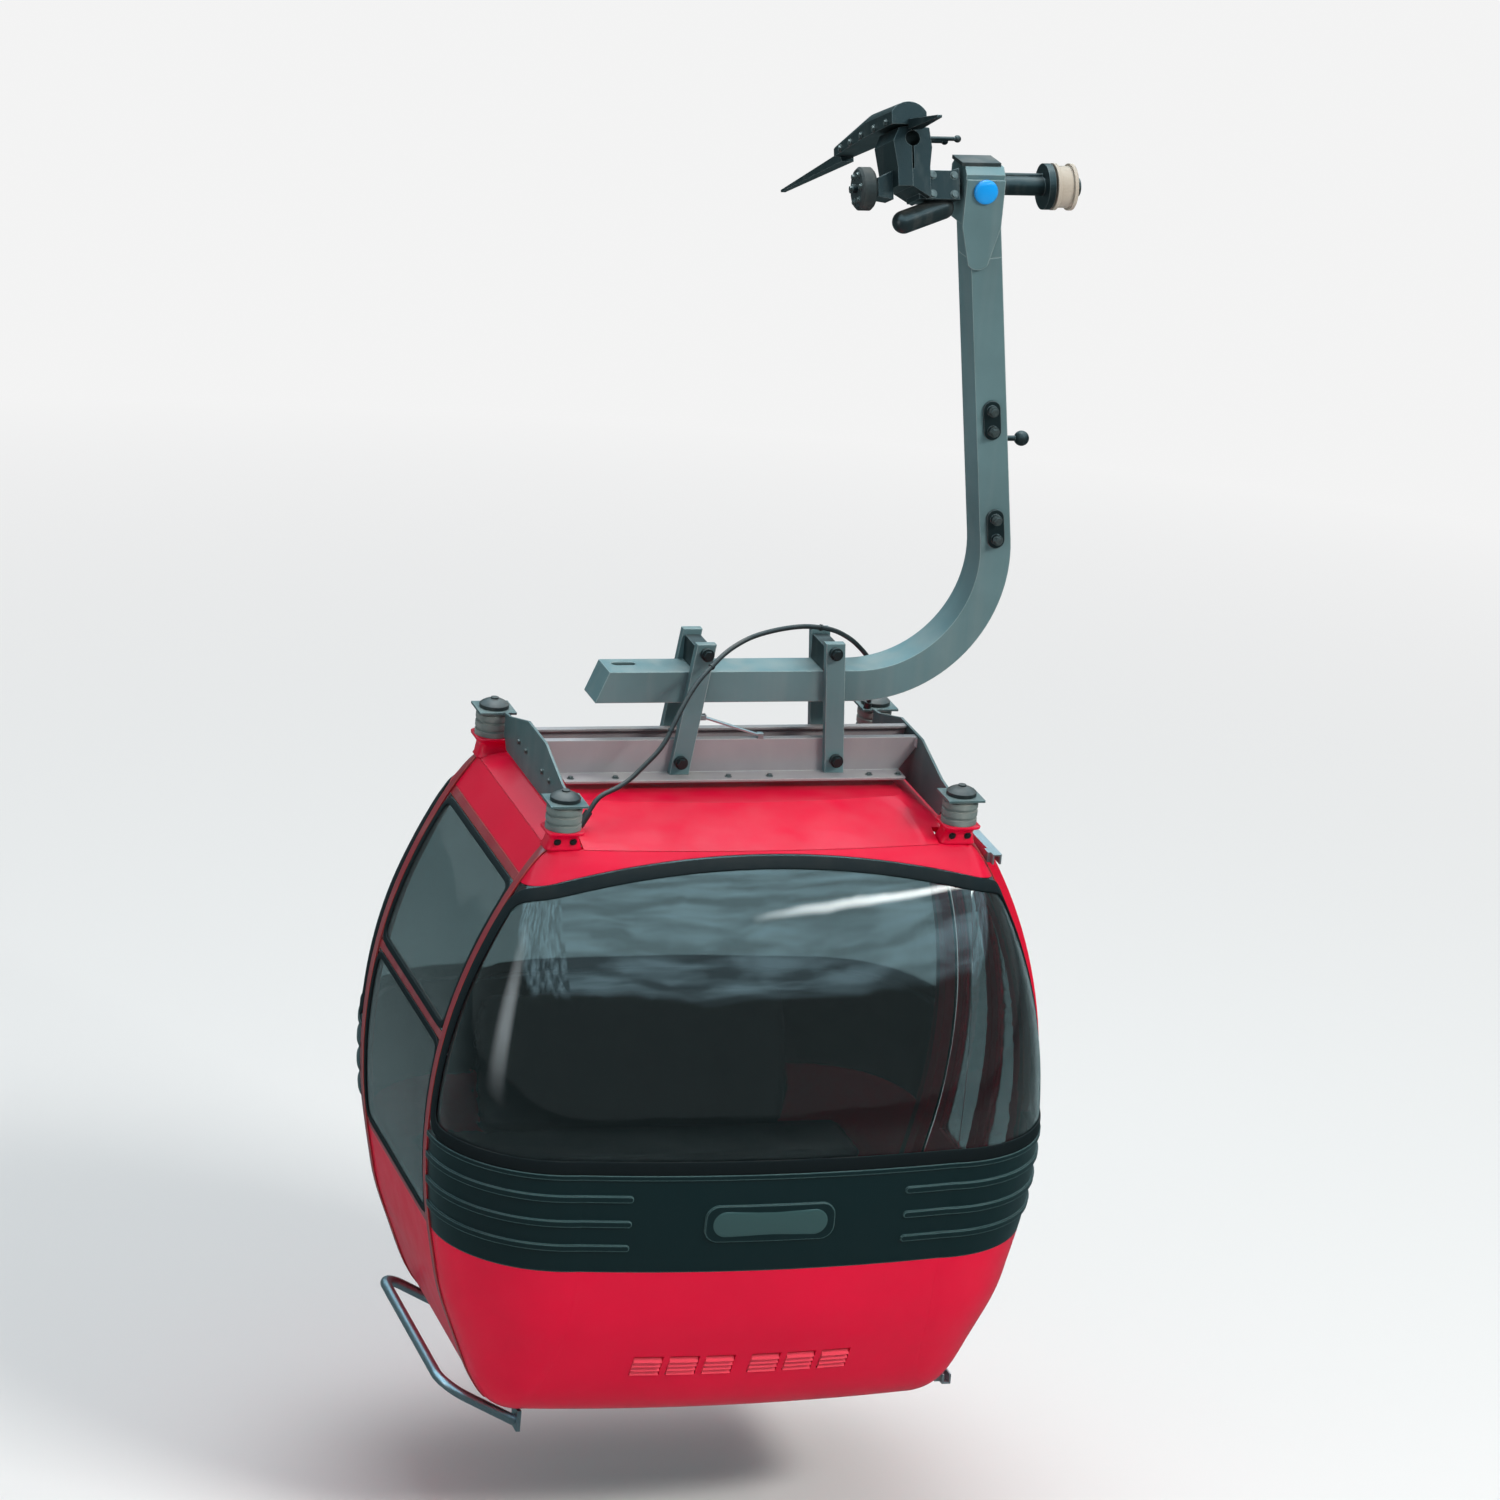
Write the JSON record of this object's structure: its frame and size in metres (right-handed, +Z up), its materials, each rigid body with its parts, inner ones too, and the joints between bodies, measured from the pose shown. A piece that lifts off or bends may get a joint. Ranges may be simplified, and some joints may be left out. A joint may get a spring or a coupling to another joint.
{
  "type": "cable car cabin with hanger and detachable rope grip",
  "caption": "Enclosed cable car cabin with wrap-round end windows and sliding doors, hung by a bent tube arm from a detachable rope grip.",
  "frame": {"origin": "on the axis of the carrying rope, in the middle of the grip's jaws", "axes": "+X towards the door side and the hanger's arm, +Y along the line, the way the rope falls, +Z up"},
  "size_m": [2.098, 2.1312, 4.3687],
  "materials": {
    "grip_steel": "satin",
    "spring_black": "satin",
    "roller_rubber": "matte",
    "roller_plastic": "matte",
    "hanger_grey": "satin",
    "hanger_fittings": "satin",
    "cable_black": "matte",
    "cap_blue": "gloss",
    "frame_grey": "satin",
    "damper_rubber": "matte",
    "cap_black": "satin",
    "body_red": "gloss",
    "band_black": "gloss",
    "smoked_glass": "gloss",
    "rail_aluminium": "satin",
    "guide_steel": "satin",
    "floor_aluminium": "matte",
    "bench_plastic": "matte",
    "bench_frame": "satin"
  },
  "bodies": {
    "grip": {"grip_body": "grip_steel", "grip_jaw": "grip_steel", "jaw_lever": "grip_steel", "grip_shaft": "grip_steel", "grip_hump": "grip_steel", "rope_tongues": "grip_steel", "spring_tube": "spring_black", "release_rods": "grip_steel"},
    "coupling_wheel": {"coupling_roller": "roller_rubber"},
    "guide_wheel": {"guide_roller": "roller_plastic"},
    "door_front": {"leaf_front": "body_red", "leaf_glass_front": "smoked_glass"},
    "door_rear": {"leaf_rear": "body_red", "leaf_glass_rear": "smoked_glass"},
    "cabin": {"hanger": "hanger_grey", "hanger_head": "hanger_grey", "head_shield": "hanger_grey", "arm_plates": "hanger_fittings", "arm_stub": "hanger_fittings", "link_pins": "hanger_fittings", "head_lid": "hanger_fittings", "pull_rod": "hanger_fittings", "cable_glands": "hanger_fittings", "control_cable": "cable_black", "blue_cap": "cap_blue", "frame_sides": "frame_grey", "frame_channels": "frame_grey", "link_straps": "frame_grey", "dampers": "damper_rubber", "damper_caps": "cap_black", "skirt_front": "body_red", "skirt_rear": "body_red", "roof": "body_red", "roof_edges": "body_red", "posts_front": "body_red", "posts_rear": "body_red", "side_panel": "body_red", "side_bars": "body_red", "door_frame": "body_red", "damper_ears": "body_red", "band_front": "band_black", "band_rear": "band_black", "window_front": "smoked_glass", "window_rear": "smoked_glass", "side_window": "smoked_glass", "vent_pane": "smoked_glass", "door_rails": "rail_aluminium", "guide_rail": "guide_steel", "guide_feet": "guide_steel", "floor": "floor_aluminium", "under_pan": "floor_aluminium", "bench_seats": "bench_plastic", "bench_backs": "bench_plastic", "bench_legs": "bench_frame"}
  },
  "joints": [
    {"name": "hanger_swing", "type": "hinge", "parent": "grip", "child": "cabin", "pos_m": [0.253, -0.05051, -0.12195], "axis": [1, 0, 0], "range_deg": [-67.5, 22.5]},
    {"name": "door_front_slide", "type": "slide", "parent": "cabin", "child": "door_front", "axis": [0, -1, 0], "range_m": [0, 0.355]},
    {"name": "door_rear_slide", "type": "slide", "parent": "cabin", "child": "door_rear", "axis": [0, 1, 0], "range_m": [0, 0.355]},
    {"name": "coupling_roller_spin", "type": "hinge", "parent": "grip", "child": "coupling_wheel", "pos_m": [-0.137, -0.0574, -0.13858], "axis": [1, 0, 0], "continuous": true},
    {"name": "guide_roller_spin", "type": "hinge", "parent": "grip", "child": "guide_wheel", "pos_m": [0.528, -0.05051, -0.12195], "axis": [1, 0, 0], "continuous": true}
  ]
}
